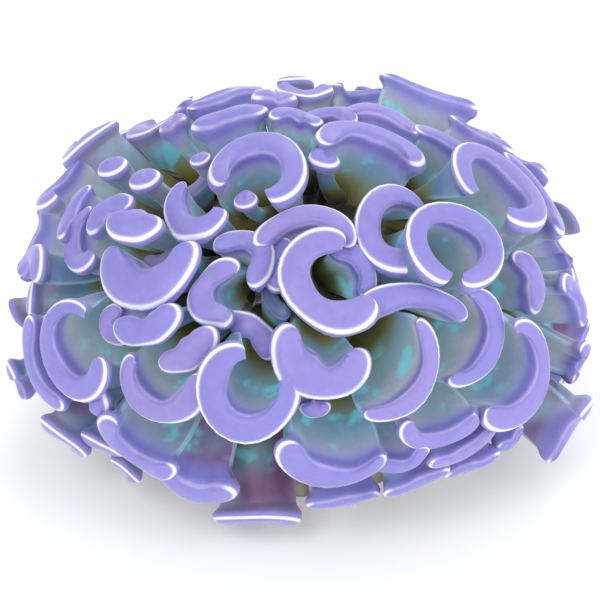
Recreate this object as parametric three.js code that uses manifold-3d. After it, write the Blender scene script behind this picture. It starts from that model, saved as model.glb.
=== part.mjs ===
// A colony of hammer coral, in millimetres, +Z up, resting on its cut base.
// Fleshy tentacles fan out from a low stony skeleton and end in curled, hammer-shaped heads
// that cover a dome. A branch is one tentacle, or two that fork from one root.
import * as THREE from "three";
import { mergeVertices } from "three/addons/utils/BufferGeometryUtils.js";
import Module from "manifold-3d";

const wasm = await Module();
wasm.setup();

// The heads lie on this dome, whose widest level is DOME_BASE above the cut.
const WIDTH = 120;
const DEPTH = 100;
const DOME_HEIGHT = 40;
const DOME_BASE = 31;
const DOME = new THREE.Vector3(WIDTH / 2, DEPTH / 2, DOME_HEIGHT);
const DOME_CENTRE = new THREE.Vector3(0, 0, DOME_BASE);

// The skeleton's mound is this share of the dome, and its trunk narrows towards the cut.
const SKELETON_SHARE = 0.6;
const TRUNK_SHARE = 0.5;
const TRUNK_TOP = 0.4 * DOME_BASE;
const TRUNK_ROWS = 4;
const MOUND_ROWS = 5;
const MOUND_SIDES = 20;

// Roots stand just over the skeleton, and nearer its top than the heads are on the dome.
const ROOT_SHARE = SKELETON_SHARE + 0.03;
const ROOT_CROWDING = 0.69;
const LOWEST_ELEVATION = -40;

// A tentacle's stalk, its thin sheet, and its head in half-thicknesses of that head: how far the
// rounding reaches down, how squarely it turns, and where the head has narrowed to the sheet.
const ROOT_RADIUS = 2;
const SHEET_HALF_THICKNESS = 1.4;
const HEAD_ROUNDING = 0.75;
const HEAD_SQUARENESS = 2.4;
const HEAD_DEPTH = 1.7;

// The curl starts early on the stalk, and never bends tighter than this over the sheet.
const CURL_ONSET = 0.4;
const TIGHTEST_CURL = 0.8;

// Where along its stalk a tentacle forks, and where its lowest full ring is.
const FORK_SHARE = 0.15;
const LOWEST_RING = 0.2;

// Room between neighbours that touch, and how much one is grown before it trims the next.
const GAP = 0.3;
const TRIM = 0.6;

// Headings are read from in front, looking down at this angle, or from behind where the front
// is hidden.
const LOOK_DOWN = THREE.MathUtils.degToRad(40);

const MERGE = 1e-3;

// One row for each tentacle: azimuth from the front, elevation, reach as a share of the dome,
// way in which the curl opens as degrees clockwise on a clock face, radius of the curl,
// degrees that the curl spans, half the thickness of the head, and the share by which the head
// is thicker at one end than in its middle, where it is.
const BRANCHES = [
  // The front, from the middle outwards.
  [[4, 30, 1.03, 18, 6.8, 215, 4.1], [3, 14, 0.9, 0, 3, 120, 2]],
  [[6, 51, 1.05, 72, 7.8, 255, 3.6, -0.15], [20, 55, 0.93, 235, 6.5, 130, 2.4]],
  [[-11, 21, 1.04, 35, 7.8, 290, 3.2], [-9, 46, 0.8, 60, 5, 110, 1.8]],
  [[-47, 45, 0.99, 8, 8.8, 190, 4.5]],
  [[51, 51, 1.04, 176, 7.8, 342, 2.7]],
  [[31, 42, 0.98, 178, 13, 105, 2.9]],
  [[23, 23, 1.02, 300, 11.5, 140, 2.1]],
  [[43, 25, 0.97, 285, 9.3, 180, 2.2]],
  [[42, 62, 0.96, 103, 7, 280, 2.9, -0.35]],
  [[-25, 46, 0.97, 95, 5, 230, 2.9], [-20, 58, 0.95, 230, 5.5, 200, 2.6]],
  [[-25, 30, 1, 330, 9.5, 90, 3.3], [-13, 36, 0.87, 225, 5.5, 130, 2.8]],
  [[-37, 33, 1, 352, 7.5, 120, 3.4], [-48, 27, 0.93, 80, 3.5, 160, 2.4]],
  [[-61, 53, 1.05, 20, 6.5, 110, 3.8], [-81, 47, 0.95, 150, 4.5, 140, 3.2], [-55, 50, 0.8, 345, 7, 110, 1.8]],
  // The crown.
  [[-58, 81, 1, 210, 7.6, 290, 3], [-38, 72, 0.96, 0, 4, 50, 2.3]],
  [[112, 75, 1, 188, 8.4, 190, 3.1], [68, 85, 0.98, 0, 4, 60, 2.9]],
  [[2, 67, 0.97, 180, 8.5, 160, 2.8], [-9, 57, 0.91, 95, 6, 115, 2.2]],
  [[-53, 62, 0.97, 45, 5.6, 225, 2.8]],
  [[-140, 68, 1, 190, 9, 100, 3.5], [-95, 70, 0.98, 0, 4, 40, 1.9]],
  [[-178, 79, 1.02, 210, 3.8, 200, 2.2], [-168, 66, 1.02, 150, 5, 100, 3.4]],
  [[160, 72, 0.97, 200, 5, 150, 2.2], [178, 60, 1, 0, 5, 150, 2.2]],
  [[91, 49, 1.02, 207, 8.8, 308, 2.7]],
  [[116, 51, 0.95, 200, 9, 140, 2.6, -0.3], [138, 65, 0.98, 190, 8, 140, 2.5]],
  // The front rim.
  [[50, 10, 1, 278, 9.2, 215, 2.6, 0.35]],
  [[-30, 15, 0.98, 15, 7.4, 225, 2.8, -0.35], [-45, 4, 0.98, 210, 5.5, 100, 3.3]],
  [[-53, 16, 1, 65, 7.9, 285, 2.5, -0.45], [-61, 4, 1, 60, 10.5, 125, 2.4]],
  [[6, -3, 1, 15, 9.8, 170, 3, 0.3], [9, -24, 0.98, 0, 8.5, 110, 2.4]],
  [[28, 2, 0.98, 10, 7.5, 165, 2.3], [20, -7, 0.96, 350, 5.5, 165, 2.2]],
  [[34, -9, 0.98, 350, 9, 110, 2.2], [25, -20, 0.98, 0, 7, 120, 2.4]],
  [[-34, -7, 1, 45, 7.2, 200, 2.8], [-44, -31, 0.98, 200, 4, 110, 2.3]],
  [[-22, -18, 1, 8, 7.8, 140, 3.9], [-10, -34, 1.02, 180, 9.5, 115, 2.5]],
  [[39, -21, 0.98, 350, 6, 120, 2.4], [49, -17, 0.97, 10, 4, 120, 2.3]],
  [[78, 13, 0.97, 200, 4.8, 160, 2.4], [70, -3, 1, 250, 3.4, 230, 2]],
  [[62, -17, 1.09, 315, 8, 170, 2.9]],
  [[-70, -9, 1.03, 45, 5.5, 135, 2.3], [-84, -18, 0.95, 30, 6, 140, 2.4]],
  [[-56, -21, 1.02, 225, 6, 130, 2.4], [-49, -23, 0.95, 200, 5, 120, 2.3]],
  // The sides.
  [[-120, 36, 1.04, 215, 5.5, 200, 2.7], [-107, 30, 0.99, 60, 6, 200, 2.4]],
  [[-102, 50, 1, 30, 4, 60, 3], [-93, 62, 0.8, 330, 7, 110, 1.8]],
  [[-89, 38, 0.97, 100, 5.5, 150, 2.3], [-78, 36, 0.93, 60, 6, 190, 2.3]],
  [[-84, 21, 0.97, 200, 7.5, 130, 2.7], [-91, 3, 0.9, 150, 6, 160, 2.5]],
  [[-133, 53, 0.97, 200, 3.5, 70, 3.2], [-89, 58, 0.98, 0, 4, 55, 2.9]],
  [[102, 33, 0.98, 268, 10, 140, 2.7], [68, 29, 0.95, 240, 5.5, 150, 2.7]],
  [[124, 41, 1, 20, 7, 140, 2.4], [111, 26, 0.93, 230, 5.5, 140, 2.2]],
  // The back.
  [[-153, 57, 1, 190, 7, 150, 2.5], [-158, 40, 0.98, 30, 7, 210, 2.6]],
  [[144, 46, 1.07, 0, 11, 120, 2.8], [166, 40, 0.98, 330, 6, 190, 2.6]],
  [[-178, 41, 1, 90, 6, 160, 2.8], [179, 21, 0.98, 200, 7.5, 200, 2.7]],
  [[-136, 39, 0.95, 250, 7, 180, 2.6], [-124, 21, 0.97, 20, 7.5, 230, 2.6]],
  [[-143, 21, 0.98, 150, 7, 150, 2.9], [-131, 2, 1, 340, 7, 200, 2.6]],
  [[-162, 21, 1.01, 0, 7, 260, 2.7], [-150, 2, 0.98, 30, 8, 120, 2.9]],
  [[160, 21, 1.01, 120, 7.5, 180, 2.8], [153, 2, 0.99, 10, 7, 150, 3]],
  [[142, 21, 0.98, 340, 7, 220, 2.6], [134, 2, 1, 60, 7.5, 170, 2.7]],
  [[127, 21, 1, 10, 7.5, 140, 3], [115, 2, 0.98, 300, 7, 210, 2.6]],
  [[-112, 2, 0.97, 20, 7, 170, 2.8], [-103, -18, 1, 330, 7, 140, 2.6]],
  [[-169, 2, 1, 320, 7.5, 200, 2.7], [-160, -18, 0.99, 10, 7, 140, 2.6]],
  [[172, 2, 0.99, 20, 6.5, 230, 2.6], [-179, -18, 1, 350, 7, 130, 2.7]],
  [[96, 2, 0.93, 30, 7.5, 160, 2.7], [86, -18, 0.97, 340, 7, 140, 2.5]],
  [[-122, -18, 1, 20, 7, 130, 2.6], [-141, -18, 1, 0, 7, 150, 2.5]],
  [[162, -18, 1, 0, 7, 140, 2.5], [143, -18, 0.99, 20, 7, 130, 2.7]],
  [[124, -18, 1, 340, 7, 150, 2.5], [105, -18, 0.99, 0, 7, 130, 2.7]],
];

const FLESH = new THREE.MeshStandardMaterial({ color: 0xa59be6, roughness: 0.5, metalness: 0 });
const STONE = new THREE.MeshStandardMaterial({ color: 0xb8ac98, roughness: 0.85, metalness: 0 });

// A point of the dome, or of the share of it given, at an azimuth and elevation in degrees.
function domePoint(azimuth, elevation, share) {
  const a = THREE.MathUtils.degToRad(azimuth);
  const e = THREE.MathUtils.degToRad(elevation);
  return new THREE.Vector3(Math.cos(e) * Math.sin(a), -Math.cos(e) * Math.cos(a), Math.sin(e))
    .multiply(DOME)
    .multiplyScalar(share)
    .add(DOME_CENTRE);
}

function domeNormal(point) {
  return point.clone().sub(DOME_CENTRE).divide(DOME).divide(DOME).normalize();
}

// The direction in a head's own plane that points to the given way on a clock face. The way
// slides along the line of sight until it lies in that plane.
function curlDirection(normal, clock) {
  const turn = THREE.MathUtils.degToRad(clock);
  const fromFront = Math.sin(LOOK_DOWN) * normal.z - Math.cos(LOOK_DOWN) * normal.y;
  const side = fromFront > 0.2 ? 1 : -1;
  const towards = new THREE.Vector3(0, -side * Math.cos(LOOK_DOWN), Math.sin(LOOK_DOWN));
  const up = new THREE.Vector3(0, side * Math.sin(LOOK_DOWN), Math.cos(LOOK_DOWN));
  const way = new THREE.Vector3(side * Math.sin(turn), 0, 0).addScaledVector(up, Math.cos(turn));
  const facing = Math.max(normal.dot(towards), 0.3);
  way.addScaledVector(towards, -way.dot(normal) / facing);
  return way.addScaledVector(normal, -way.dot(normal)).normalize();
}

function rootPoint(azimuth, elevation) {
  return domePoint(azimuth, (elevation - LOWEST_ELEVATION) * ROOT_CROWDING, ROOT_SHARE);
}

// The line along the middle of a tentacle, which meets the dome square on.
function stalkPath([azimuth, elevation, reach], root) {
  const top = domePoint(azimuth, elevation, reach);
  const halfway = top.clone().addScaledVector(domeNormal(top), -root.distanceTo(top) / 2);
  return new THREE.QuadraticBezierCurve3(root, halfway, top);
}

// Half the thickness of a tentacle at a distance below its top.
function halfThickness(below, station, head) {
  const rounding = HEAD_ROUNDING * head;
  if (below < rounding) {
    const squared = 1 - Math.pow(1 - below / rounding, HEAD_SQUARENESS);
    return head * Math.pow(squared, 1 / HEAD_SQUARENESS);
  }
  const neck = THREE.MathUtils.smoothstep(below, rounding, HEAD_DEPTH * head);
  const narrowing = Math.min(1, 2 * station);
  const stalk = THREE.MathUtils.lerp(ROOT_RADIUS, SHEET_HALF_THICKNESS, narrowing);
  return THREE.MathUtils.lerp(head, stalk, neck);
}

// The surface of one tentacle: at each station along its stalk the ring is a capsule, which
// curls further and grows longer from the round root to the head.
function tentacleSurface(row, root) {
  const [azimuth, elevation, reach, clock, radius, span, head, lean = 0] = row;
  const top = domePoint(azimuth, elevation, reach);
  const opening = curlDirection(domeNormal(top), clock);
  const path = stalkPath(row, root);
  const length = root.distanceTo(top);
  const halfSpan = THREE.MathUtils.degToRad(span) / 2;
  const headHalfLength = Math.max(radius * halfSpan, head);

  return (station, angle, pinched) => {
    const heading = path.getTangent(station);
    const forward = opening.clone().addScaledVector(heading, -opening.dot(heading)).normalize();
    const across = new THREE.Vector3().crossVectors(heading, forward);
    const thick = halfThickness((1 - station) * length, station, head);
    const spread = THREE.MathUtils.smoothstep(station, 0, 1);
    const halfLength = THREE.MathUtils.lerp(ROOT_RADIUS, headHalfLength, spread);
    const straight = Math.max(halfLength - Math.max(thick, GAP), 0);

    const curl = Math.max(halfSpan * Math.pow(station, CURL_ONSET), 0.1);
    const bend = Math.max(halfLength / curl, SHEET_HALF_THICKNESS + TIGHTEST_CURL);
    const middle = (bend * Math.sin(halfLength / bend)) / (halfLength / bend);

    const share = Math.tanh(Math.cos(angle)) / Math.tanh(1);
    const swell = 1 + lean * share * spread;
    const along = straight * share + (halfLength - straight) * swell * Math.cos(angle);
    const outward = pinched ? 0 : thick * swell * Math.sin(angle);
    return path
      .getPoint(station)
      .addScaledVector(forward, middle - (bend + outward) * Math.cos(along / bend))
      .addScaledVector(across, (bend + outward) * Math.sin(along / bend));
  };
}

// One tentacle as a closed tube, whose ends are pinched shut along the middle of the capsule.
function tentacle(row, root, grown) {
  const [azimuth, elevation, reach, , , span, head] = row;
  const length = root.distanceTo(domePoint(azimuth, elevation, reach));
  const neck = 1 - (HEAD_DEPTH * head) / length;
  const brow = 1 - (HEAD_ROUNDING * head) / length;
  const stations = [1, brow, neck, LOWEST_RING, 0];
  const sides = 6 + 2 * Math.round(span / 100);
  const surfacePoint = tentacleSurface(row, root);

  const bands = stations.length - 1;
  const tube = new THREE.CylinderGeometry(1, 1, 1, sides, bands, true);
  tube.deleteAttribute("normal");
  tube.deleteAttribute("uv");
  const position = tube.attributes.position;
  for (let i = 0; i < position.count; i += 1) {
    const ring = Math.round((0.5 - position.getY(i)) * bands);
    const pinched = ring === 0 || ring === bands;
    const angle = Math.atan2(-position.getZ(i), position.getX(i));
    position.setXYZ(i, ...surfacePoint(stations[ring], angle, pinched).toArray());
  }
  return grow(mergeVertices(tube, MERGE), grown);
}

// Moves a closed surface outwards by a distance.
function grow(geometry, distance) {
  geometry.computeVertexNormals();
  const position = geometry.attributes.position;
  const normal = geometry.attributes.normal;
  for (let i = 0; i < position.count; i += 1) {
    const point = new THREE.Vector3().fromBufferAttribute(position, i);
    point.addScaledVector(new THREE.Vector3().fromBufferAttribute(normal, i), distance);
    position.setXYZ(i, ...point.toArray());
  }
  return geometry;
}

// A branch's first tentacle stands on the skeleton, and the others fork off its stalk.
function branch(rows, grown) {
  const root = rootPoint(rows[0][0], rows[0][1]);
  const fork = stalkPath(rows[0], root).getPoint(FORK_SHARE);
  const tentacles = rows.map((row, index) => {
    return solidOf(tentacle(row, index === 0 ? root : fork, grown));
  });
  return tentacles.reduce((whole, next) => whole.add(next));
}

// The stony skeleton: a mound on a trunk, cut off flat underneath.
function skeleton(grown) {
  const wide = SKELETON_SHARE + (2 * grown) / DEPTH;
  const tall = SKELETON_SHARE * DOME_HEIGHT + grown;
  const trunk = new THREE.SplineCurve([
    new THREE.Vector2(TRUNK_SHARE, 0),
    new THREE.Vector2(TRUNK_SHARE, TRUNK_TOP),
    new THREE.Vector2(wide, DOME_BASE),
  ]);
  const profile = [new THREE.Vector2(0, 0), ...trunk.getPoints(TRUNK_ROWS)];
  for (let row = 1; row < MOUND_ROWS; row += 1) {
    const angle = (row / MOUND_ROWS) * (Math.PI / 2);
    profile.push(new THREE.Vector2(wide * Math.cos(angle), DOME_BASE + tall * Math.sin(angle)));
  }
  profile.push(new THREE.Vector2(0, DOME_BASE + tall));
  const mound = new THREE.LatheGeometry(profile, MOUND_SIDES);
  mound.deleteAttribute("normal");
  mound.deleteAttribute("uv");
  mound.rotateX(Math.PI / 2);
  mound.scale(DOME.x, DOME.y, 1);
  return mergeVertices(mound, MERGE);
}

function solidOf(geometry) {
  return new wasm.Manifold(
    new wasm.Mesh({
      numProp: 3,
      vertProperties: geometry.attributes.position.array,
      triVerts: new Uint32Array(geometry.index.array),
    }),
  );
}

function geometryOf(solid) {
  const mesh = solid.getMesh();
  const geometry = new THREE.BufferGeometry();
  geometry.setAttribute("position", new THREE.BufferAttribute(mesh.vertProperties, 3));
  geometry.setIndex(new THREE.BufferAttribute(mesh.triVerts, 1));
  return geometry;
}

function largestBody(solid) {
  return solid.decompose().reduce((a, b) => (b.volume() > a.volume() ? b : a));
}

const coral = new THREE.Group();
coral.name = "hammer_coral";

function addPiece(name, solid, material) {
  const mesh = new THREE.Mesh(geometryOf(solid), material);
  mesh.name = name;
  coral.add(mesh);
}

// Each branch gives way to the skeleton and to the branches before it.
addPiece("skeleton", solidOf(skeleton(0)), STONE);
const earlier = [solidOf(skeleton(GAP))];
BRANCHES.forEach((rows, index) => {
  const whole = branch(rows, 0);
  const free = earlier
    .filter((other) => whole.intersect(other).numTri() > 0)
    .reduce((solid, other) => solid.subtract(other), whole);
  const name = "branch_" + String(index + 1).padStart(2, "0");
  addPiece(name, largestBody(free), FLESH);
  earlier.push(branch(rows, TRIM));
});

export default coral;
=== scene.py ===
"""A colony of hammer coral on a pale studio floor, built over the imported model's frame.

Fleshy tentacles fan out from a low stony skeleton and end in curled, hammer-shaped heads.
Lengths are in millimetres while a shape is worked out, and in metres in the finished mesh.
"""
import math

import bpy
import numpy as np
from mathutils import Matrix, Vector


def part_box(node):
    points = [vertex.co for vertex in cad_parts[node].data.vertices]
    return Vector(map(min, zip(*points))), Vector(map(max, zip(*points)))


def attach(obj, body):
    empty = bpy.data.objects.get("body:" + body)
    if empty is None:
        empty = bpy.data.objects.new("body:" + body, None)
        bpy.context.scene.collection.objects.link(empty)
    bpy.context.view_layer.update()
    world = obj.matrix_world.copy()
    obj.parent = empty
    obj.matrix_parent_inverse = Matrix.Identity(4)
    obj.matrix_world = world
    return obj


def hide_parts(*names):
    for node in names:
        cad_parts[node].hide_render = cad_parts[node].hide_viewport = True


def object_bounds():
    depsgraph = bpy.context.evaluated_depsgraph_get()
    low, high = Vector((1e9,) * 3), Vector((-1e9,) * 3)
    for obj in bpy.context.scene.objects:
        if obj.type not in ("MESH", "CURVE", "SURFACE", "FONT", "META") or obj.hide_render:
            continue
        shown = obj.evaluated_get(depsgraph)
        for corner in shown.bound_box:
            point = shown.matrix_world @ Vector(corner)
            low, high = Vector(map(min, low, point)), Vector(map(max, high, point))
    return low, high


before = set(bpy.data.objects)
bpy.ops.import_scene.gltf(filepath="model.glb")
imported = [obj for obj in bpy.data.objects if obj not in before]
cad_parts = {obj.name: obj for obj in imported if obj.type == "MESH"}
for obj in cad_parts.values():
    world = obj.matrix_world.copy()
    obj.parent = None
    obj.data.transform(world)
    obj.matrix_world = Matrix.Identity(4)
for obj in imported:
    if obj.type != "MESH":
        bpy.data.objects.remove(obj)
CAD_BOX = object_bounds()

bl_info = {
    "name": "Hammer coral colony",
    "version": (1, 0, 0),
    "blender": (4, 5, 0),
    "location": "3D View > Sidebar > Coral",
    "description": "Grows a hammer coral colony over its frame, piece by piece",
    "category": "Object",
}

MM = 0.001
NEARLY_ZERO = 1e-6

# The skeleton's mound and trunk and the living tissue, as shares of the dome that the heads lie
# on, the dome's height as a share of its width, and the share of the height of the dome's middle
# at which the tissue starts.
SKELETON_SHARE = 0.6
TISSUE_SHARE = SKELETON_SHARE + 0.02
TRUNK_SHARE = 0.5
DOME_HEIGHT_SHARE = 1 / 3
TISSUE_START = 0.35

# Roots stand just inside the skeleton, and nearer its top than the heads are on the dome. The
# other tentacles of a branch leave the first one's stalk at the fork's station.
ROOT_SHARE = SKELETON_SHARE - 0.05
ROOT_CROWDING = 0.69
LOWEST_ELEVATION = -40
FORK_SHARE = 0.15

# A tentacle's head, in half-thicknesses of that head: how far the rounding reaches down, how
# squarely it turns, and where it has narrowed to the sheet, outside and inside the curl.
HEAD_ROUNDING = 0.75
HEAD_SQUARENESS = 2.4
HEAD_DEPTH = 1.7
FUNNEL_DEPTH = 3.6

# The curl starts early on the stalk, and never bends tighter than this over the sheet, in mm.
CURL_ONSET = 0.4
LEAST_CURL = 0.1
TIGHTEST_CURL = 0.8

# A root's tip is rounded up to this station, and the square of its share of the stalk's width
# is never under the thinnest.
TIP_END = 0.06
THINNEST_TIP = 0.02
TIP_STATIONS = (0, 0.004, 0.02)

# Rings widen to the head's length between these stations. A ring's straight part is at least
# this share of the head, and fills its ends this much faster than a plain cosine would. Inside
# the curl the head runs on down as a funnel, in full from this sine of the angle round the ring.
SPREAD_START = -0.25
SPREAD_END = 0.85
LEAST_STRAIGHT = 0.1
END_FILL = 1.6
FUNNEL_FULL = 0.8

# A head is thicker at its ends, by this much more than a little thinning in the middle. Two
# waves along it, each with its height and its frequency, make its outline uneven.
END_KNOB = 0.1
MIDDLE_THINNING = 0.04
LUMPS = ((0.09, 3.3), (0.055, 7.1))

# How often a head sways in and out, and up and down, for each radian of its curl, and how much
# further it goes up and down.
SWAY_FREQUENCY = 2.1
LIFT_FREQUENCY = 1.7
LIFT_SHARE = 1.6

# Random phases that a tentacle draws before its tone, and the seeds kept for each branch.
PHASES = 6
SEEDS_FOR_BRANCH = 10

# Rings along the stalk, the neck and the rounded cap, and points round a ring: the fewest, and
# some more for each turn of so many degrees.
STALK_RINGS = 19
NECK_RINGS = 8
CAP_RINGS = 15
FEWEST_SIDES = 40
SIDES_FOR_TURN = 4
TURN_DEGREES = 20

# Where a tentacle's middle is sampled for contact: from this station to so many
# half-thicknesses below the top, and over this share of the capsule's length.
MARROW_START = 0.25
MARROW_BELOW = 0.6
MARROW_REACH = 0.98
MARROW_RINGS = 16
MARROW_POINTS = 19

# The skeleton's rings, for the trunk and for the mound, the points round each, its ridges, how
# rounded they are, and the shares of their height that the stone and the tissue over it have.
MOUND_RINGS = 50
MOUND_SIDES = 360
RIDGES = 24
RIDGE_ROUNDING = 0.7
POLE_RIDGE = 0.5
STONE_RIDGED = 1.0
TISSUE_RIDGED = 0.15

# How far the mound lies inside its share of the dome, and the height of its lumps, in mm.
MOUND_INSET = 0.5
LUMP_HEIGHT = 0.35

# Headings are read from in front, looking down at this angle, or from behind where the front
# is hidden. A head that is nearly edge-on is read as if it faced the eye by the least share.
LOOK_DOWN = math.radians(40)
HIDDEN_BELOW = 0.2
LEAST_FACING = 0.3

# Positions of the sockets that a Mix node uses when it blends colours.
MIX_FACTOR, MIX_FIRST, MIX_SECOND = 0, 6, 7
MIX_RESULT = 2

BLACK = (0.0, 0.0, 0.0)
WHITE = (1.0, 1.0, 1.0, 1.0)

FLOOR_HALF_WIDTH = 4.0
FLOOR_GREY = (0.78, 0.79, 0.8)
FLOOR_GLOW = 0.18
AIR_COLOUR = (0.95, 0.97, 1.0, 1.0)
AIR_STRENGTH = 0.76

# One row for each light: its name, place and size in metres, share of the key light's power,
# and colour.
LIGHTS = (
    ("key_light", (-0.35, -0.55, 0.75), 0.45, 1.0, (1.0, 0.99, 0.97)),
    ("fill_light", (0.6, -0.4, 0.45), 0.5, 0.7, (0.93, 0.96, 1.0)),
    ("rim_light", (0.1, 0.7, 0.6), 0.4, 0.7, (0.95, 0.97, 1.0)),
)

# One row for each tentacle: azimuth from the front, elevation, reach as a share of the dome,
# way in which the curl opens as degrees clockwise on a clock face, radius of the curl,
# degrees that the curl spans, half the thickness of the head, and the share by which the head
# is thicker at one end than in its middle, where it is.
BRANCHES = [
    # The front, from the middle outwards.
    [[4, 30, 1.03, 18, 6.8, 215, 4.1], [3, 14, 0.9, 0, 3, 120, 2]],
    [[6, 51, 1.05, 72, 7.8, 255, 3.6, -0.15], [20, 55, 0.93, 235, 6.5, 130, 2.4]],
    [[-11, 21, 1.04, 35, 7.8, 290, 3.2], [-9, 46, 0.8, 60, 5, 110, 1.8]],
    [[-47, 45, 0.99, 8, 8.8, 190, 4.5]],
    [[51, 51, 1.04, 176, 7.8, 342, 2.7]],
    [[31, 42, 0.98, 178, 13, 105, 2.9]],
    [[23, 23, 1.02, 300, 11.5, 140, 2.1]],
    [[43, 25, 0.97, 285, 9.3, 180, 2.2]],
    [[42, 62, 0.96, 103, 7, 280, 2.9, -0.35]],
    [[-25, 46, 0.97, 95, 5, 230, 2.9], [-20, 58, 0.95, 230, 5.5, 200, 2.6]],
    [[-25, 30, 1, 330, 9.5, 90, 3.3], [-13, 36, 0.87, 225, 5.5, 130, 2.8]],
    [[-37, 33, 1, 352, 7.5, 120, 3.4], [-48, 27, 0.93, 80, 3.5, 160, 2.4]],
    [
        [-61, 53, 1.05, 20, 6.5, 110, 3.8],
        [-81, 47, 0.95, 150, 4.5, 140, 3.2],
        [-55, 50, 0.8, 345, 7, 110, 1.8],
    ],
    # The crown.
    [[-58, 81, 1, 210, 7.6, 290, 3], [-38, 72, 0.96, 0, 4, 50, 2.3]],
    [[112, 75, 1, 188, 8.4, 190, 3.1], [68, 85, 0.98, 0, 4, 60, 2.9]],
    [[2, 67, 0.97, 180, 8.5, 160, 2.8], [-9, 57, 0.91, 95, 6, 115, 2.2]],
    [[-53, 62, 0.97, 45, 5.6, 225, 2.8]],
    [[-140, 68, 1, 190, 9, 100, 3.5], [-95, 70, 0.98, 0, 4, 40, 1.9]],
    [[-178, 79, 1.02, 210, 3.8, 200, 2.2], [-168, 66, 1.02, 150, 5, 100, 3.4]],
    [[160, 72, 0.97, 200, 5, 150, 2.2], [178, 60, 1, 0, 5, 150, 2.2]],
    [[91, 49, 1.02, 207, 8.8, 308, 2.7]],
    [[116, 51, 0.95, 200, 9, 140, 2.6, -0.3], [138, 65, 0.98, 190, 8, 140, 2.5]],
    # The front rim.
    [[50, 10, 1, 278, 9.2, 215, 2.6, 0.35]],
    [[-30, 15, 0.98, 15, 7.4, 225, 2.8, -0.35], [-45, 4, 0.98, 210, 5.5, 100, 3.3]],
    [[-53, 16, 1, 65, 7.9, 285, 2.5, -0.45], [-61, 4, 1, 60, 10.5, 125, 2.4]],
    [[6, -3, 1, 15, 9.8, 170, 3, 0.3], [9, -24, 0.98, 0, 8.5, 110, 2.4]],
    [[28, 2, 0.98, 10, 7.5, 165, 2.3], [20, -7, 0.96, 350, 5.5, 165, 2.2]],
    [[34, -9, 0.98, 350, 9, 110, 2.2], [25, -20, 0.98, 0, 7, 120, 2.4]],
    [[-34, -7, 1, 45, 7.2, 200, 2.8], [-44, -31, 0.98, 200, 4, 110, 2.3]],
    [[-22, -18, 1, 8, 7.8, 140, 3.9], [-10, -34, 1.02, 180, 9.5, 115, 2.5]],
    [[39, -21, 0.98, 350, 6, 120, 2.4], [49, -17, 0.97, 10, 4, 120, 2.3]],
    [[78, 13, 0.97, 200, 4.8, 160, 2.4], [70, -3, 1, 250, 3.4, 230, 2]],
    [[62, -17, 1.09, 315, 8, 170, 2.9]],
    [[-70, -9, 1.03, 45, 5.5, 135, 2.3], [-84, -18, 0.95, 30, 6, 140, 2.4]],
    [[-56, -21, 1.02, 225, 6, 130, 2.4], [-49, -23, 0.95, 200, 5, 120, 2.3]],
    # The sides.
    [[-120, 36, 1.04, 215, 5.5, 200, 2.7], [-107, 30, 0.99, 60, 6, 200, 2.4]],
    [[-102, 50, 1, 30, 4, 60, 3], [-93, 62, 0.8, 330, 7, 110, 1.8]],
    [[-89, 38, 0.97, 100, 5.5, 150, 2.3], [-78, 36, 0.93, 60, 6, 190, 2.3]],
    [[-84, 21, 0.97, 200, 7.5, 130, 2.7], [-91, 3, 0.9, 150, 6, 160, 2.5]],
    [[-133, 53, 0.97, 200, 3.5, 70, 3.2], [-89, 58, 0.98, 0, 4, 55, 2.9]],
    [[102, 33, 0.98, 268, 10, 140, 2.7], [68, 29, 0.95, 240, 5.5, 150, 2.7]],
    [[124, 41, 1, 20, 7, 140, 2.4], [111, 26, 0.93, 230, 5.5, 140, 2.2]],
    # The back.
    [[-153, 57, 1, 190, 7, 150, 2.5], [-158, 40, 0.98, 30, 7, 210, 2.6]],
    [[144, 46, 1.07, 0, 11, 120, 2.8], [166, 40, 0.98, 330, 6, 190, 2.6]],
    [[-178, 41, 1, 90, 6, 160, 2.8], [179, 21, 0.98, 200, 7.5, 200, 2.7]],
    [[-136, 39, 0.95, 250, 7, 180, 2.6], [-124, 21, 0.97, 20, 7.5, 230, 2.6]],
    [[-143, 21, 0.98, 150, 7, 150, 2.9], [-131, 2, 1, 340, 7, 200, 2.6]],
    [[-162, 21, 1.01, 0, 7, 260, 2.7], [-150, 2, 0.98, 30, 8, 120, 2.9]],
    [[160, 21, 1.01, 120, 7.5, 180, 2.8], [153, 2, 0.99, 10, 7, 150, 3]],
    [[142, 21, 0.98, 340, 7, 220, 2.6], [134, 2, 1, 60, 7.5, 170, 2.7]],
    [[127, 21, 1, 10, 7.5, 140, 3], [115, 2, 0.98, 300, 7, 210, 2.6]],
    [[-112, 2, 0.97, 20, 7, 170, 2.8], [-103, -18, 1, 330, 7, 140, 2.6]],
    [[-169, 2, 1, 320, 7.5, 200, 2.7], [-160, -18, 0.99, 10, 7, 140, 2.6]],
    [[172, 2, 0.99, 20, 6.5, 230, 2.6], [-179, -18, 1, 350, 7, 130, 2.7]],
    [[96, 2, 0.93, 30, 7.5, 160, 2.7], [86, -18, 0.97, 340, 7, 140, 2.5]],
    [[-122, -18, 1, 20, 7, 130, 2.6], [-141, -18, 1, 0, 7, 150, 2.5]],
    [[162, -18, 1, 0, 7, 140, 2.5], [143, -18, 0.99, 20, 7, 130, 2.7]],
    [[124, -18, 1, 340, 7, 150, 2.5], [105, -18, 0.99, 0, 7, 130, 2.7]],
]


# ---------------------------------------------------------------- the dome


def dome_of_frame():
    """The dome's half-widths and its middle, in millimetres, from the frame's skeleton."""
    low, high = (np.array(corner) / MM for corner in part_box("skeleton"))
    half_width, half_depth = (high - low)[:2] / 2 / SKELETON_SHARE
    height = 2 * half_width * DOME_HEIGHT_SHARE
    middle = np.array([0, 0, high[2] - SKELETON_SHARE * height])
    return np.array([half_width, half_depth, height]), middle


DOME, DOME_MIDDLE = dome_of_frame()


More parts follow.
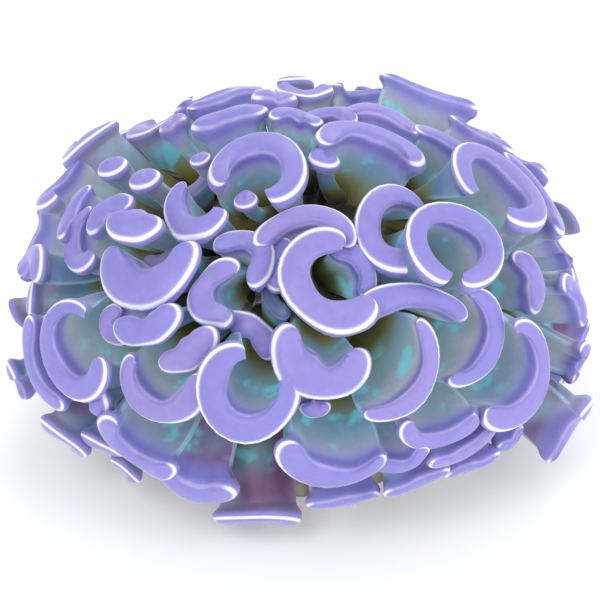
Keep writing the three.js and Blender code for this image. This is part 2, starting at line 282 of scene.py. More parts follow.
def dome_point(azimuth, elevation, share):
    """The point of an ellipsoid at an azimuth and elevation in degrees, shrunk by a share."""
    a = math.radians(azimuth)
    e = math.radians(elevation)
    unit = np.array([math.cos(e) * math.sin(a), -math.cos(e) * math.cos(a), math.sin(e)])
    return DOME_MIDDLE + unit * DOME * share


def dome_normal(point):
    """The ellipsoid's outward normal: the point over the square of each half-width."""
    normal = (point - DOME_MIDDLE) / DOME**2
    return normal / np.linalg.norm(normal)


def curl_direction(normal, clock):
    """The direction in a head's plane that points to a way on a clock face.

    The clock is seen from in front of the colony, or from behind where the front is hidden.
    The way on the clock slides along the line of sight until it lies in the head's plane.
    """
    turn = math.radians(clock)
    from_front = math.sin(LOOK_DOWN) * normal[2] - math.cos(LOOK_DOWN) * normal[1]
    side = 1 if from_front > HIDDEN_BELOW else -1
    towards = np.array([0, -side * math.cos(LOOK_DOWN), math.sin(LOOK_DOWN)])
    up = np.array([0, side * math.sin(LOOK_DOWN), math.cos(LOOK_DOWN)])
    way = np.array([side * math.sin(turn), 0, 0]) + up * math.cos(turn)
    way = way - towards * (way @ normal) / max(normal @ towards, LEAST_FACING)
    way = way - normal * (way @ normal)
    return way / np.linalg.norm(way)


def root_point(azimuth, elevation):
    """The point just inside the skeleton where a tentacle stands, nearer the top than its head."""
    return dome_point(azimuth, (elevation - LOWEST_ELEVATION) * ROOT_CROWDING, ROOT_SHARE)


# ---------------------------------------------------------------- tentacles


def smooth_step(values, start, end):
    """The cubic that rises from 0 at start to 1 at end."""
    t = np.clip((values - start) / (end - start), 0, 1)
    return t * t * (3 - 2 * t)


class Stalk:
    """The line along the middle of a tentacle: a quadratic curve that meets the dome square on.

    A station runs from 0 at the root to 1 at the top.
    """

    def __init__(self, row, root):
        self.root = root
        self.top = dome_point(*row[:3])
        self.length = np.linalg.norm(self.top - root)
        self.halfway = self.top - dome_normal(self.top) * self.length / 2

    def point(self, station):
        """The root, halfway and top points, mixed by the squares of the station's two shares."""
        s = np.asarray(station)[..., None]
        return (1 - s) ** 2 * self.root + 2 * s * (1 - s) * self.halfway + s**2 * self.top

    def heading(self, station):
        """The unit direction of the curve: its derivative, over its length."""
        s = np.asarray(station)[..., None]
        way = 2 * (1 - s) * (self.halfway - self.root) + 2 * s * (self.top - self.halfway)
        return way / np.linalg.norm(way, axis=-1, keepdims=True)


class Tentacle:
    """One tentacle: rings round its stalk, each ring a capsule that curls further and grows
    longer from the round root to the head."""

    def __init__(self, row, root, sizes, branch, place):
        self.row = row
        self.branch = branch
        self.sheet = sizes.sheet_thickness / 2 / MM
        self.root_radius = sizes.root_radius / MM
        self.waviness = sizes.waviness / MM
        self.stalk = Stalk(row, root)
        self.opening = curl_direction(dome_normal(self.stalk.top), row[3])
        self.radius = row[4]
        self.half_span = math.radians(row[5]) / 2
        self.head = row[6]
        self.lean = row[7] if len(row) > 7 else 0
        random = np.random.default_rng(SEEDS_FOR_BRANCH * branch + place)
        self.phase = random.uniform(0, 2 * math.pi, PHASES)
        self.tone = random.uniform(0, 1)

    def half_thickness(self, station, depth=HEAD_DEPTH):
        """A rounded cap, then a neck that narrows to the thin sheet, then the stalk.

        The cap is the head's half-thickness times a superellipse of the distance below the top.
        """
        below = (1 - station) * self.stalk.length
        rounding = HEAD_ROUNDING * self.head
        squared = 1 - np.clip(1 - below / rounding, 0, 1) ** HEAD_SQUARENESS
        cap = self.head * squared ** (1 / HEAD_SQUARENESS)
        neck = smooth_step(below, rounding, depth * self.head)
        stalk = self.root_radius + (self.sheet - self.root_radius) * np.clip(2 * station, 0, 1)
        return np.where(below < rounding, cap, self.head + (stalk - self.head) * neck)

    def unevenness(self, share):
        """How much thicker a head is at a share of the way to its end, from -1 to 1.

        A knob that grows with the share's fourth power, and two waves. Short heads stay round.
        """
        knob = END_KNOB * share**4 - MIDDLE_THINNING
        (high, slow), (low, fast) = LUMPS
        lumps = high * np.sin(slow * share + self.phase[2]) + low * np.sin(fast * share + self.phase[3])
        stretch = min(max(self.radius * self.half_span / self.head - 1, 0), 1)
        return self.lean * share + (knob + lumps) * stretch

    def place(self, station, around, outward_share=1.0):
        """The surface point at a station along the stalk and an angle round the ring.

        Along the capsule, the offset is its straight half-length times a saturating cosine plus
        the half-thickness times the cosine; outward it is the half-thickness times the sine.
        The capsule is then wound round an arc whose middle stays on the stalk.
        """
        heading = self.stalk.heading(station)
        forward = self.opening - (heading @ self.opening)[..., None] * heading
        forward = forward / np.linalg.norm(forward, axis=-1, keepdims=True)
        across = np.cross(heading, forward)

        tip = np.sqrt(np.maximum(1 - np.clip(1 - station / TIP_END, 0, 1) ** 2, THINNEST_TIP))
        inside = smooth_step(-np.sin(around), 0, FUNNEL_FULL)
        thick = self.half_thickness(station)
        funnel = self.half_thickness(station, FUNNEL_DEPTH)
        thick = (thick + (funnel - thick) * inside) * tip

        spread = smooth_step(station, SPREAD_START, SPREAD_END)
        longest = max(self.radius * self.half_span - self.head, LEAST_STRAIGHT * self.head)
        straight = spread * longest * tip
        reach = np.maximum(straight + thick, self.root_radius)
        curl = np.maximum(self.half_span * station**CURL_ONSET, LEAST_CURL)
        bend = np.maximum(reach / curl, self.sheet + TIGHTEST_CURL)

        cosine = np.cos(around)
        share = np.tanh(END_FILL * cosine) / math.tanh(END_FILL)
        swell = 1 + self.unevenness(share) * spread
        along = straight * share + thick * swell * cosine
        outward = thick * swell * np.sin(around) * outward_share

        wave = spread**2 * self.waviness
        arc = share * self.half_span
        outward = outward + wave * np.sin(SWAY_FREQUENCY * arc + self.phase[0])
        lift = wave * LIFT_SHARE * np.sin(LIFT_FREQUENCY * arc + self.phase[1])

        middle = bend * np.sin(reach / bend) / (reach / bend)
        ahead = middle - (bend + outward) * np.cos(along / bend)
        aside = (bend + outward) * np.sin(along / bend)
        return (
            self.stalk.point(station)
            + forward * ahead[..., None]
            + across * aside[..., None]
            + heading * lift[..., None]
        )

    def stations(self):
        """Stations from the root to the top, closest together over the root's rounded tip and,
        spaced as a sine, over the head's rounded cap."""
        cap = HEAD_ROUNDING * self.head / self.stalk.length
        neck = HEAD_DEPTH * self.head / self.stalk.length
        lower = np.linspace(TIP_END, 1 - neck, STALK_RINGS, endpoint=False)
        middle = np.linspace(1 - neck, 1 - cap, NECK_RINGS, endpoint=False)
        upper = 1 - cap * (1 - np.sin(np.linspace(0, math.pi / 2, CAP_RINGS)))
        return np.concatenate([TIP_STATIONS, lower, middle, upper])

    def surface(self):
        """The grid of points, stations by angles, and the stations and angles themselves.

        The first and the last ring are pinched into a line along the capsule's middle.
        """
        turns = round(math.degrees(self.half_span) * 2 / TURN_DEGREES)
        sides = FEWEST_SIDES + SIDES_FOR_TURN * turns
        around = np.linspace(0, 2 * math.pi, sides, endpoint=False)
        station, angle = np.meshgrid(self.stations(), around, indexing="ij")
        pinch = np.ones_like(station)
        pinch[0] = 0
        pinch[-1] = 0
        return self.place(station, angle, pinch), station, angle

    def marrow(self):
        """Points along the tentacle's middle and the half-thickness there, for contact."""
        highest = 1 - MARROW_BELOW * self.head / self.stalk.length
        levels = np.linspace(MARROW_START, highest, MARROW_RINGS)
        around = np.arccos(np.linspace(-MARROW_REACH, MARROW_REACH, MARROW_POINTS))
        station, angle = np.meshgrid(levels, around, indexing="ij")
        points = self.place(station, angle, np.zeros_like(station))
        return points.reshape(-1, 3), self.half_thickness(station).ravel()


def press_apart(surfaces, tentacles, gap, most):
    """Moves touching tentacles off each other, so that they dent where they would cross.

    Each point closer to a neighbour's middle than its half-thickness and the gap moves away
    from it by half the shortfall, and no further than the most allowed.
    """
    marrows = [tentacle.marrow() for tentacle in tentacles]
    boxes = [(s.min((0, 1)), s.max((0, 1))) for s in surfaces]
    pushed = [surface.copy() for surface in surfaces]
    for i, surface in enumerate(surfaces):
        shift = np.zeros_like(surface)
        for j, (points, radii) in enumerate(marrows):
            apart = np.any(boxes[i][0] > boxes[j][1]) or np.any(boxes[j][0] > boxes[i][1])
            if apart or tentacles[i].branch == tentacles[j].branch:
                continue
            near = np.all((surface > boxes[j][0] - gap) & (surface < boxes[j][1] + gap), axis=-1)
            if not near.any():
                continue
            away = surface[near][:, None, :] - points[None, :, :]
            distance = np.linalg.norm(away, axis=-1)
            depth = radii[None, :] + gap - distance
            pick = np.arange(len(depth)), depth.argmax(axis=1)
            short = np.clip(depth[pick], 0, 2 * most) / 2
            way = away[pick] / np.maximum(distance[pick], NEARLY_ZERO)[:, None]
            shift[near] += way * short[:, None]
        size = np.linalg.norm(shift, axis=-1, keepdims=True)
        shift = shift * np.minimum(1, most / np.maximum(size, NEARLY_ZERO))
        pushed[i] = surface + evened(shift)
    return pushed


def evened(field, rounds=3):
    """A field over a tube's grid, averaged with its neighbours for some rounds."""
    for _ in range(rounds):
        round_ring = (np.roll(field, 1, axis=1) + 2 * field + np.roll(field, -1, axis=1)) / 4
        padded = np.concatenate([round_ring[:1], round_ring, round_ring[-1:]])
        field = (padded[:-2] + 2 * padded[1:-1] + padded[2:]) / 4
    return field


def zipped_faces(rings, sides, start):
    """Quads between the rings of a tube whose two end rings are pinched into a line.

    On an end ring, the points at an angle and at its opposite are the same point, and the two
    at the ends of the line are left out, so that the quads there have a repeated corner.
    """
    index = start + np.arange(rings * sides).reshape(rings, sides)
    column = np.arange(sides)
    mirrored = np.clip(np.minimum(column, (sides - column) % sides), 1, sides // 2 - 1)
    index[0] = index[0][mirrored]
    index[-1] = index[-1][mirrored]
    ahead = np.roll(index, -1, axis=1)
    return np.stack([index[:-1], ahead[:-1], ahead[1:], index[1:]], axis=-1).reshape(-1, 4)


def without_repeats(face):
    """A face's corners, without any that repeats the one before it."""
    return [corner for place, corner in enumerate(face) if corner != face[place - 1]]


def mesh_object(name, points, faces, attributes, material):
    """A smooth mesh object in metres, with its place in its mesh and its attributes by name.

    The points come in millimetres, and those that no face uses are left out.
    """
    used, compact = np.unique(faces, return_inverse=True)
    corners = [without_repeats(face) for face in compact.reshape(faces.shape).tolist()]
    mesh = bpy.data.meshes.new(name)
    mesh.from_pydata((points[used] * MM).tolist(), [], corners)
    for title, values in attributes.items():
        layer = mesh.attributes.new(title, "FLOAT", "POINT")
        layer.data.foreach_set("value", values[used].astype(np.float32))
    mesh.materials.append(material)
    mesh.shade_smooth()
    mesh.update()
    piece = bpy.data.objects.new(name, mesh)
    bpy.context.scene.collection.objects.link(piece)
    return piece


# ---------------------------------------------------------------- materials


class Value:
    """A number that a node gives. Arithmetic on it adds Math nodes."""

    def __init__(self, paint, socket):
        self.paint = paint
        self.socket = socket

    def join(self, operation, *others):
        """The value of a Math node that works on some numbers."""
        node = self.paint.node("ShaderNodeMath", {"operation": operation}, list(others))
        return Value(self.paint, node.outputs[0])

    def __add__(self, other):
        return self.join("ADD", self, other)

    def __radd__(self, other):
        return self.join("ADD", other, self)

    def __sub__(self, other):
        return self.join("SUBTRACT", self, other)

    def __rsub__(self, other):
        return self.join("SUBTRACT", other, self)

    def __mul__(self, other):
        return self.join("MULTIPLY", self, other)

    def __rmul__(self, other):
        return self.join("MULTIPLY", other, self)

    def clamp(self):
        """Held between 0 and 1."""
        return self.join("MINIMUM", self.join("MAXIMUM", self, 0.0), 1.0)

    def smooth(self, start, end):
        """Rises smoothly from 0 at start to 1 at end."""
        settings = {"interpolation_type": "SMOOTHSTEP"}
        inputs = {"Value": self, "From Min": start, "From Max": end}
        node = self.paint.node("ShaderNodeMapRange", settings, inputs)
        return Value(self.paint, node.outputs[0])


class Paint:
    """A material's node tree, with one method that adds any node."""

    def __init__(self, name):
        self.material = bpy.data.materials.new(name)
        self.material.use_nodes = True
        self.tree = self.material.node_tree
        self.shader = self.tree.nodes["Principled BSDF"]

    def put(self, socket, value):
        """Links a socket to a value or to another socket, or sets it to a constant."""
        source = value.socket if isinstance(value, Value) else value
        if isinstance(source, bpy.types.NodeSocket):
            self.tree.links.new(source, socket)
        else:
            socket.default_value = source

    def node(self, kind, settings=None, inputs=None):
        """Adds a node: its settings first, then its inputs by name or by position."""
        made = self.tree.nodes.new(kind)
        for name, setting in (settings or {}).items():
            setattr(made, name, setting)
        pairs = inputs.items() if isinstance(inputs, dict) else enumerate(inputs or [])
        for key, value in pairs:
            self.put(made.inputs[key], value)
        return made

    def attribute(self, name):
        """A number that the mesh carries at each of its points."""
        node = self.node("ShaderNodeAttribute", {"attribute_name": name})
        return Value(self, node.outputs["Fac"])

    def noise(self, scale, detail=3.0, roughness=0.5):
        """Noise over Object coordinates, scaled per metre."""
        place = self.node("ShaderNodeTexCoord").outputs["Object"]
        inputs = {"Vector": place, "Scale": scale, "Detail": detail, "Roughness": roughness}
        return Value(self, self.node("ShaderNodeTexNoise", None, inputs).outputs[0])

    def blend(self, share, first, second):
        """The first colour where the share is 0 and the second where it is 1."""
        inputs = {MIX_FACTOR: share, MIX_FIRST: self.colour(first), MIX_SECOND: self.colour(second)}
        return self.node("ShaderNodeMix", {"data_type": "RGBA"}, inputs).outputs[MIX_RESULT]

    def colour(self, value):
        """A colour's socket as it is, or a colour with its full opacity added."""
        if isinstance(value, bpy.types.NodeSocket):
            return value
        return (*value, 1.0)

    def bump(self, height, strength, distance, under=None):
        """A bump of some strength and of a height in metres, on the one under it if there is one."""
        inputs = {"Height": height, "Strength": strength, "Distance": distance}
        if under is not None:
            inputs["Normal"] = under
        return self.node("ShaderNodeBump", None, inputs).outputs[0]

    def finish(self, **inputs):
        """Sets or links the shader's own sockets, named with underscores for spaces."""
        for name, value in inputs.items():
            self.put(self.shader.inputs[name.replace("_", " ")], value)
        return self.material


def flesh_material(colours):
    """Wet flesh: lavender heads with a painted rim highlight over sheets that go teal, olive and, deepest,
    near-black painted shade.

    The sheets glow faintly: painted light, an emission that brightens their shaded parts though they are
    no lamp.
    """
    paint = Paint("wet_flesh")
    depth = paint.attribute("depth")
    edge = paint.attribute("edge")
    crown = paint.attribute("crown")
    tone = paint.attribute("tone")
    droop = paint.attribute("droop")
    side = paint.attribute("side")
    inner = paint.attribute("inner")
    lip = paint.attribute("lip")
    broad = paint.noise(90.0, 2.0)
    fine = paint.noise(420.0, 4.0, 0.6)
    mottle = (broad - 0.5) * 0.5

    head = paint.blend((tone + mottle).smooth(0.2, 0.9), colours.head_blue, colours.head_pink)
    # Painted light: the inside of a curl is blended to a lighter grey, with fewer of the bluer areas.
    lilac = paint.blend(inner, colours.sheet_lilac, colours.funnel_painted_light)
    near = paint.blend((depth + mottle * 0.35).smooth(0.12, 0.5), lilac, colours.sheet_teal)
    wide = paint.noise(38.0, 1.0).smooth(0.45, 0.62) * (1.0 - inner * 0.5)
    sheet = paint.blend(wide * 0.7, near, colours.sheet_blue)
    # The roots' olive is their own colour, darkened as well to stand in for the shade among the roots.
    deep = paint.blend((depth + mottle * 0.5).smooth(0.42, 0.68), sheet, colours.root_olive)
    # Painted shade: the flesh goes near black deep between the roots.
    shade = paint.blend(depth.smooth(0.62, 0.92), deep, colours.painted_gap_shade)
    # Plum patches near the heads of hanging tentacles: partly their own tint, partly painted underside
    # shade.
    hanging_plum_and_shade = droop * depth.smooth(0.0, 0.2) * paint.noise(60.0, 1.0).smooth(0.36, 0.52)
    hanging = paint.blend(hanging_plum_and_shade, shade, colours.under_plum)
    # Painted glints: brighter cyan patches part way down the sheets.
    patches = paint.noise(170.0, 2.0).smooth(0.54, 0.68)
    middle = depth.smooth(0.14, 0.3) * (1.0 - depth.smooth(0.5, 0.66))
    tinted = paint.blend((patches * middle * 0.65).clamp(), hanging, colours.painted_cyan_glint)
    # Painted highlight: a pale cyan line along a sheet's two free edges.
    lined = paint.blend((side * 0.45).clamp(), tinted, colours.painted_fold_highlight)
    body = paint.blend(crown, lined, head)
    lipped = paint.blend(lip * 0.5, body, colours.lip_blue)
    # Painted highlight: a pale line where a head's face turns down, standing in for the bright light at
    # its outline.
    rimmed = paint.blend((edge * 0.95).clamp(), lipped, colours.painted_rim_highlight)
    speckle = (fine - 0.5) * 0.25 + 1.0
    final = paint.node("ShaderNodeHueSaturation", None, {"Color": rimmed, "Value": speckle})
    # Painted light: the sheets below the heads glow, more inside the curl, to brighten where they lie in
    # shade.
    lit = depth.smooth(0.04, 0.16) * (1.0 - depth.smooth(0.45, 0.7)) * (1.0 - crown)
    glow = paint.blend(lit * (inner * 0.6 + 0.4), BLACK, final.outputs[0])

    relief = paint.noise(1300.0, 3.0, 0.55)
    normal = paint.bump(relief, 0.12, 0.0004)
    normal = paint.bump(fine, 0.2, 0.0008, normal)
    return paint.finish(
        Base_Color=final.outputs[0],
        Roughness=0.48 + (fine - 0.5) * 0.3,
        Normal=normal,
        Subsurface_Weight=0.25,
        Subsurface_Radius=(0.9, 0.7, 1.0),
        Subsurface_Scale=0.0015,
        Sheen_Weight=0.6,
        Sheen_Roughness=0.35,
        Sheen_Tint=(0.85, 0.88, 1.0, 1.0),
        Coat_Weight=0.1,
        Coat_Roughness=0.3,
        Emission_Color=glow,
        Emission_Strength=0.5,
    )


def tissue_material(colours):
    """Brown-olive living tissue stretched over the skeleton between the roots, streaked with near-black
    painted shade.
    """
    paint = Paint("living_tissue")
    ridge = paint.attribute("ridge")
    broad = paint.noise(120.0, 2.0)
    fine = paint.noise(700.0, 4.0, 0.6)
    streak = (ridge * 0.15 + broad * 1.8 - 0.5).smooth(0.3, 0.8)
    # Painted shade: noisy streaks of near black over the olive between the roots.
    base = paint.blend(streak, colours.painted_gap_shade, colours.root_olive)
    colour = paint.blend((fine.smooth(0.55, 0.75) * 0.2).clamp(), base, colours.sheet_teal)
    normal = paint.bump(fine, 0.3, 0.0006)
    roughness = 0.4 + (fine - 0.5) * 0.3
    return paint.finish(Base_Color=colour, Roughness=roughness, Normal=normal, Coat_Weight=0.2)


def stone_material(colours):
    """Rough coral stone, darker in the grooves between its ridges."""
    paint = Paint("coral_stone")
    ridge = paint.attribute("ridge")
    broad = paint.noise(70.0, 3.0)
    fine = paint.noise(900.0, 6.0, 0.7)
    raised = (ridge * 0.8 + (broad - 0.5) * 0.6).clamp()
    base = paint.blend(raised, colours.groove_brown, colours.ridge_cream)
    colour = paint.blend((fine.smooth(0.55, 0.75) * 0.4).clamp(), base, colours.groove_brown)
    normal = paint.bump(fine, 0.7, 0.0008)
    roughness = 0.85 + (fine - 0.5) * 0.2
    return paint.finish(Base_Color=colour, Roughness=roughness, Normal=normal)


def floor_material(colour):
    """Matt pale floor with a faint grain, and a slight glow that keeps it white."""
    paint = Paint("studio_floor")
    grain = paint.noise(40.0, 2.0)
    return paint.finish(
        Base_Color=paint.blend(grain * 0.08, colour, FLOOR_GREY),
        Roughness=0.6 + (grain - 0.5) * 0.1,
        Emission_Color=WHITE,
        Emission_Strength=FLOOR_GLOW,
    )


# ---------------------------------------------------------------- settings


def colour_property(name, description, default):
    """A colour that a user can change."""
    return bpy.props.FloatVectorProperty(
        name=name, description=description, default=default, subtype="COLOR", size=3, min=0, max=1
    )


def number_property(name, description, default, **kind):
    """A number that a user can change, with its unit or subtype."""
    return bpy.props.FloatProperty(name=name, description=description, default=default, **kind)


def length_property(name, description, default):
    """A length in metres that a user can change."""
    return number_property(
        name, description, default, unit="LENGTH", subtype="DISTANCE", precision=5
    )


class CoralSizes(bpy.types.PropertyGroup):
    """The lengths that give every tentacle and the skeleton their form"""

    root_radius: length_property("Root radius", "Radius of a tentacle's stalk at its root", 0.002)
    sheet_thickness: length_property("Sheet thickness", "Thickness of a tentacle's curled sheet", 0.0028)
    waviness: length_property("Waviness", "How far a head's edge wanders from a plain arc", 0.0004)
    contact_gap: length_property("Contact gap", "Room kept between tentacles that touch", 0.00015)
    greatest_dent: length_property("Greatest dent", "How far a tentacle gives way to another", 0.0016)
    ridge_height: length_property("Ridge height", "Height of the skeleton's ridges", 0.0006)


class CoralColours(bpy.types.PropertyGroup):
    """The colours of the flesh, the living tissue and the stone, and the highlights, glow and shade
    painted on them
    """

    head_blue: colour_property("Head, blue", "The bluer heads", (0.265, 0.243, 0.64))
    head_pink: colour_property("Head, pink", "The pinker heads", (0.31, 0.255, 0.63))
    # Painted highlight: the pale rim line on the heads.
    painted_rim_highlight: colour_property("Pale edge", "The edge where a head's face turns down", (0.97, 0.96, 1.0))
    sheet_lilac: colour_property("Sheet, near the head", "The sheet just below a head", (0.27, 0.27, 0.39))
    sheet_teal: colour_property("Sheet, middle", "The sheet further down", (0.14, 0.25, 0.29))
    # Painted light: the lighter grey of the sheet inside a curl.
    funnel_painted_light: colour_property("Sheet, inside", "The sheet inside a curl", (0.30, 0.31, 0.36))
    lip_blue: colour_property("Lip", "Where a head turns down into its curl", (0.15, 0.16, 0.53))
    sheet_blue: colour_property("Sheet, bluer areas", "Where the sheets are bluer", (0.06, 0.16, 0.33))
    # Painted glints: the brighter cyan patches down the sheets.
    painted_cyan_glint: colour_property("Cyan patches", "Brighter patches down the sheet", (0.12, 0.52, 0.58))
    # Painted highlight: the pale cyan line along the sheets' free edges.
    painted_fold_highlight: colour_property("Fold line", "The free edges of the sheet", (0.45, 0.74, 0.80))
    # The roots' own olive, darkened to stand in for shade among them as well.
    root_olive: colour_property("Root", "The flesh near the roots", (0.17, 0.165, 0.03))
    # Painted shade: near black between the roots, on the flesh and on the tissue.
    painted_gap_shade: colour_property("Deep gap", "The darkest flesh between roots", (0.026, 0.010, 0.010))
    # Partly the hanging tentacles' own plum and partly painted underside shade.
    under_plum: colour_property("Underside", "Tentacles that hang at the rim", (0.14, 0.06, 0.155))
    ridge_cream: colour_property("Skeleton ridge", "The skeleton's ridges", (0.55, 0.49, 0.38))
    groove_brown: colour_property("Skeleton groove", "The grooves between ridges", (0.20, 0.15, 0.09))


class CoralStudio(bpy.types.PropertyGroup):
    """The floor's colour, the light and where the camera stands"""

    floor: colour_property("Floor", "The studio floor", (0.96, 0.96, 0.97))
    light_power: number_property("Light", "Power of the key light", 2.7, unit="POWER")
    camera_elevation: number_property("Elevation", "Camera's angle up", LOOK_DOWN, subtype="ANGLE")
    camera_distance: length_property("Camera distance", "From the middle of the colony", 1.7)
    view_width: length_property("View width", "Width of what the camera sees at the colony", 0.12)


# ---------------------------------------------------------------- operators


def declare(piece, node):
    """Says which body a piece rides, and hides the node that it replaces."""
    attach(piece, "root")
    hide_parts(node)


def grown_tentacles(sizes):
    """Every branch's tentacles: the first stands on the skeleton, and the others fork off it."""
    tentacles = []
    for branch, rows in enumerate(BRANCHES):
        root = root_point(*rows[0][:2])
        fork = Stalk(rows[0], root).point(FORK_SHARE)
        for place, row in enumerate(rows):
            tentacles.append(Tentacle(row, root if place == 0 else fork, sizes, branch, place))
    return tentacles


def flesh_attributes(tentacle, station, angle):
    """What the flesh's colours follow, at every point of one tentacle.

    Depth is 0 at the head and 1 at the root, where the flesh is painted near black as shade. Crown
    is 1 on the head. Edge is 1 where the head's face turns down, most on its outer side, and carries
    the painted rim highlight. Side is 1 along a sheet's two free edges, and carries a painted
    highlight line. Droop is 1 on tentacles that hang at the rim, and carries plum patches that are
    partly their own tint and partly painted underside shade. A low tentacle, short of the dome, has
    no crown. Inner is 1 on the inside of the curl, which is painted a lighter grey and given more
    painted glow, and lip where the head turns down into it. Tone is a tentacle's own. Each is a
    product of smooth steps over the distance below the top, in half-thicknesses of the head, or
    over the angle round the ring.
    """
    below = (1 - station) * tentacle.stalk.length / tentacle.head
    elevation, dome_share = tentacle.row[1:3]
    grown = smooth_step(dome_share, 0.78, 0.86)
    outer = 0.2 + 0.8 * smooth_step(np.sin(angle), -0.5, 0.05)
    crown = grown * (1 - smooth_step(below, 0.7 - 0.15 * outer, 1.6 - 0.35 * outer))
    edge = grown * outer * smooth_step(below, 0.2, 0.27) * (1 - smooth_step(below, 0.4, 0.5))
    side = smooth_step(np.abs(np.cos(angle)), 0.9, 0.99) * smooth_step(below, 1.2, 2.2)
    inner = smooth_step(-np.sin(angle), 0, 0.5)
    lip = inner * smooth_step(below, 0.3, 0.9) * (1 - smooth_step(below, 1.3, 2.3))
    ones = np.ones_like(station)
    return {
        "depth": 1 - station,
        "crown": crown,
        "edge": edge,
        "inner": inner,
        "lip": lip,
        "side": side * (1 - smooth_step(1 - station, 0.45, 0.75)),
        "tone": ones * tentacle.tone,
        "droop": ones * (1 - smooth_step(elevation, -22, -2)),
    }


def branch_mesh(members):
    """The points, faces and attributes of a branch, from each of its tentacles with its grids."""
    points, faces, marks = [], [], []
    start = 0
    for tentacle, surface, station, angle in members:
        points.append(surface.reshape(-1, 3))
        faces.append(zipped_faces(*station.shape, start))
        marks.append(flesh_attributes(tentacle, station, angle))
        start += station.size
    attributes = {name: np.concatenate([mark[name].ravel() for mark in marks]) for name in marks[0]}
    return np.concatenate(points), np.concatenate(faces), attributes


class CORAL_OT_tentacles(bpy.types.Operator):
    """Grows every branch's tentacles and presses them apart where they touch"""

    bl_idname = "coral.tentacles"
    bl_label = "Tentacles"

    def execute(self, context):
        sizes = context.scene.coral_sizes
        material = flesh_material(context.scene.coral_colours)
        tentacles = grown_tentacles(sizes)
        surfaces, stations, angles = zip(*[tentacle.surface() for tentacle in tentacles])
        gap = sizes.contact_gap / MM
        pressed = press_apart(surfaces, tentacles, gap, sizes.greatest_dent / MM)
        grown = list(zip(tentacles, pressed, stations, angles))
        for branch in range(len(BRANCHES)):
            members = [member for member in grown if member[0].branch == branch]
            number = f"{branch + 1:02d}"
            piece = mesh_object(f"tentacles_{number}", *branch_mesh(members), material)
            declare(piece, f"branch_{number}")
        return {"FINISHED"}


def mound_surface(sizes, share, low, ridged):
    """A mound: an ellipse for each height, as wide as the flaring trunk below the dome's middle
    and as a half-ellipse, the given share of the dome, above it. It starts at the height low.

    Ridges run up it as a power of the angle's cosine, bent by two slower waves, and two more
    waves make it lumpy. Both fade out where it narrows to the top.
    """
    tall = share * DOME[2]
    rounding = np.sin(np.linspace(0, math.pi / 2, MOUND_RINGS))
    trunk = np.linspace(low, DOME_MIDDLE[2], MOUND_RINGS, endpoint=False)
    rise = np.concatenate([trunk, DOME_MIDDLE[2] + tall * rounding])
    flaring = TRUNK_SHARE + (share - TRUNK_SHARE) * smooth_step(rise, 0, DOME_MIDDLE[2])
    closing = share * np.sqrt(1 - np.clip((rise - DOME_MIDDLE[2]) / tall, 0, 1) ** 2)
    width = np.where(rise < DOME_MIDDLE[2], flaring, closing)
    angle = np.linspace(0, 2 * math.pi, MOUND_SIDES, endpoint=False)
    level, turn = np.meshgrid(rise, angle, indexing="ij")
    wide = np.repeat(width[:, None], MOUND_SIDES, axis=1)
    bend = 0.9 * np.sin(7 * turn + 0.2 * level) + 0.5 * np.sin(3 * turn - 0.3 * level)
    broken = 0.75 + 0.25 * np.sin(5 * turn + 1.1 * level)
    ridge = np.abs(np.cos(RIDGES * turn + bend)) ** RIDGE_ROUNDING * broken
    lumps = 0.7 * np.sin(5 * turn + 0.25 * level) + 0.6 * np.sin(8 * turn - 0.4 * level)
    fade = np.clip(wide / share, 0, 1)
    grooves = (ridge - 1) * ridged * sizes.ridge_height / MM * fade
    proud = grooves - MOUND_INSET + LUMP_HEIGHT * lumps * fade
    x = (wide * DOME[0] + proud) * np.sin(turn)
    y = -(wide * DOME[1] + proud) * np.cos(turn)
    return np.stack([x, y, level], axis=-1), ridge


def capped_faces(rings, sides):
    """Quads between rings, then fans to the two pole points that follow the rings' points."""
    index = np.arange(rings * sides).reshape(rings, sides)
    ahead = np.roll(index, -1, axis=1)
    low_pole = np.full(sides, rings * sides)
    high_pole = low_pole + 1
    quads = np.stack([index[:-1], ahead[:-1], ahead[1:], index[1:]], axis=-1).reshape(-1, 4)
    floor = np.stack([ahead[0], index[0], low_pole, low_pole], axis=-1)
    roof = np.stack([index[-1], ahead[-1], high_pole, high_pole], axis=-1)
    return np.concatenate([quads, floor, roof])


def mound_object(name, surface, ridge, material):
    """A mound as an object, closed to the middle of its lowest and its highest ring."""
    poles = surface[[0, -1]].mean(axis=1)
    points = np.concatenate([surface.reshape(-1, 3), poles])
    marks = np.concatenate([ridge.ravel(), np.full(len(poles), POLE_RIDGE)])
    return mesh_object(name, points, capped_faces(*ridge.shape), {"ridge": marks}, material)


class CORAL_OT_skeleton(bpy.types.Operator):
    """Makes the ridged stony skeleton, cut off flat underneath"""

    bl_idname = "coral.skeleton"
    bl_label = "Skeleton"

    def execute(self, context):
        material = stone_material(context.scene.coral_colours)
        mound = mound_surface(context.scene.coral_sizes, SKELETON_SHARE, 0.0, STONE_RIDGED)
        piece = mound_object("stony_skeleton", *mound, material)
        declare(piece, "skeleton")
        return {"FINISHED"}


class CORAL_OT_tissue(bpy.types.Operator):
    """Spreads living tissue over the top of the skeleton, between the roots"""

    bl_idname = "coral.tissue"
    bl_label = "Living tissue"

    def execute(self, context):
        material = tissue_material(context.scene.coral_colours)
        start = DOME_MIDDLE[2] * TISSUE_START
        mound = mound_surface(context.scene.coral_sizes, TISSUE_SHARE, start, TISSUE_RIDGED)
        piece = mound_object("living_tissue", *mound, material)
        declare(piece, "skeleton")
        return {"FINISHED"}


def area_light(name, place, target, size, power, colour):
    """A round soft light of a size in metres and a power in watts."""
    data = bpy.data.lights.new(name, "AREA")
    data.shape = "DISK"
    data.size = size
    data.energy = power
    data.color = colour
    light = bpy.data.objects.new(name, data)
    aim(light, place, target)
    bpy.context.scene.collection.objects.link(light)


def aim(thing, place, target):
    """Puts a light or camera at a place, looking at the target."""
    thing.location = place
    thing.rotation_euler = (Vector(target) - Vector(place)).to_track_quat("-Z", "Y").to_euler()


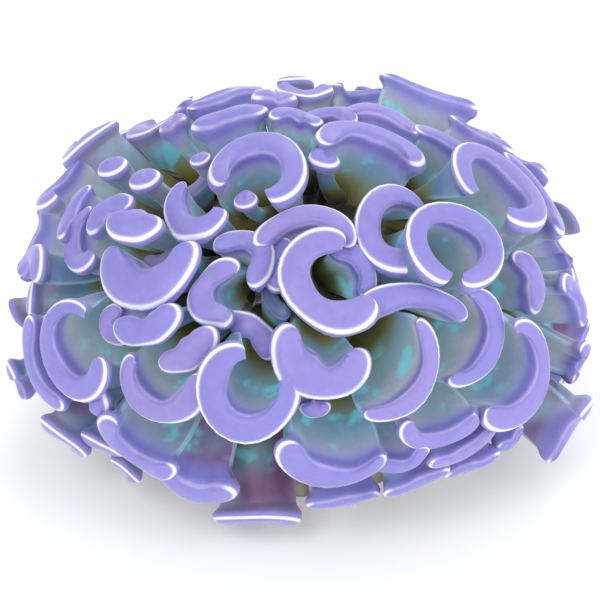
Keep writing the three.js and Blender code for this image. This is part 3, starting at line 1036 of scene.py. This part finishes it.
class CORAL_OT_studio(bpy.types.Operator):
    """Sets the pale floor, the soft lights and the camera"""

    bl_idname = "coral.studio"
    bl_label = "Studio"

    def execute(self, context):
        studio = context.scene.coral_studio
        self.floor(studio)
        self.lights(studio, np.mean(CAD_BOX, axis=0))
        self.camera(studio)
        return {"FINISHED"}

    def floor(self, studio):
        """A level square under the colony."""
        corners = np.array([(-1, -1, 0), (1, -1, 0), (1, 1, 0), (-1, 1, 0)]) * FLOOR_HALF_WIDTH
        mesh = bpy.data.meshes.new("floor")
        mesh.from_pydata(corners.tolist(), [], [(0, 1, 2, 3)])
        mesh.materials.append(floor_material(studio.floor))
        floor = bpy.data.objects.new("floor", mesh)
        bpy.context.scene.collection.objects.link(floor)

    def lights(self, studio, middle):
        """Even light from all round, and the soft lights, which face the colony's middle."""
        world = bpy.data.worlds.new("studio_air")
        world.use_nodes = True
        air = world.node_tree.nodes["Background"].inputs
        air["Color"].default_value = AIR_COLOUR
        air["Strength"].default_value = AIR_STRENGTH
        bpy.context.scene.world = world
        for name, place, size, share, colour in LIGHTS:
            area_light(name, place, middle, size, studio.light_power * share, colour)

    def camera(self, studio):
        """A camera in front of the dome's middle, whose lens takes in the width of the view."""
        data = bpy.data.cameras.new("camera")
        data.lens = data.sensor_width * studio.camera_distance / studio.view_width
        camera = bpy.data.objects.new("camera", data)
        angle = studio.camera_elevation
        way = np.array([0, -math.cos(angle), math.sin(angle)])
        target = DOME_MIDDLE * MM
        aim(camera, target + way * studio.camera_distance, target)
        bpy.context.scene.collection.objects.link(camera)
        bpy.context.scene.camera = camera


class CORAL_PT_colony(bpy.types.Panel):
    """Lists the colony's pieces and settings"""

    bl_idname = "CORAL_PT_colony"
    bl_label = "Hammer coral"
    bl_space_type = "VIEW_3D"
    bl_region_type = "UI"
    bl_category = "Coral"

    def draw(self, context):
        for operator in OPERATORS:
            self.layout.operator(operator.bl_idname)
        scene = context.scene
        for settings in (scene.coral_sizes, scene.coral_colours, scene.coral_studio):
            box = self.layout.box()
            for name in type(settings).__annotations__:
                box.prop(settings, name)


OPERATORS = (CORAL_OT_skeleton, CORAL_OT_tissue, CORAL_OT_tentacles, CORAL_OT_studio)
CLASSES = (CoralSizes, CoralColours, CoralStudio, *OPERATORS, CORAL_PT_colony)


def register():
    """Adds the classes, and their settings to the scene."""
    for each in CLASSES:
        bpy.utils.register_class(each)
    bpy.types.Scene.coral_sizes = bpy.props.PointerProperty(type=CoralSizes)
    bpy.types.Scene.coral_colours = bpy.props.PointerProperty(type=CoralColours)
    bpy.types.Scene.coral_studio = bpy.props.PointerProperty(type=CoralStudio)


def unregister():
    """Takes the settings and the classes away again."""
    del bpy.types.Scene.coral_studio
    del bpy.types.Scene.coral_colours
    del bpy.types.Scene.coral_sizes
    for each in reversed(CLASSES):
        bpy.utils.unregister_class(each)


def main():
    """Builds the colony and its studio."""
    register()
    bpy.context.scene.view_settings.view_transform = "Standard"
    bpy.ops.coral.skeleton()
    bpy.ops.coral.tissue()
    bpy.ops.coral.tentacles()
    bpy.ops.coral.studio()


if __name__ == "__main__":
    main()
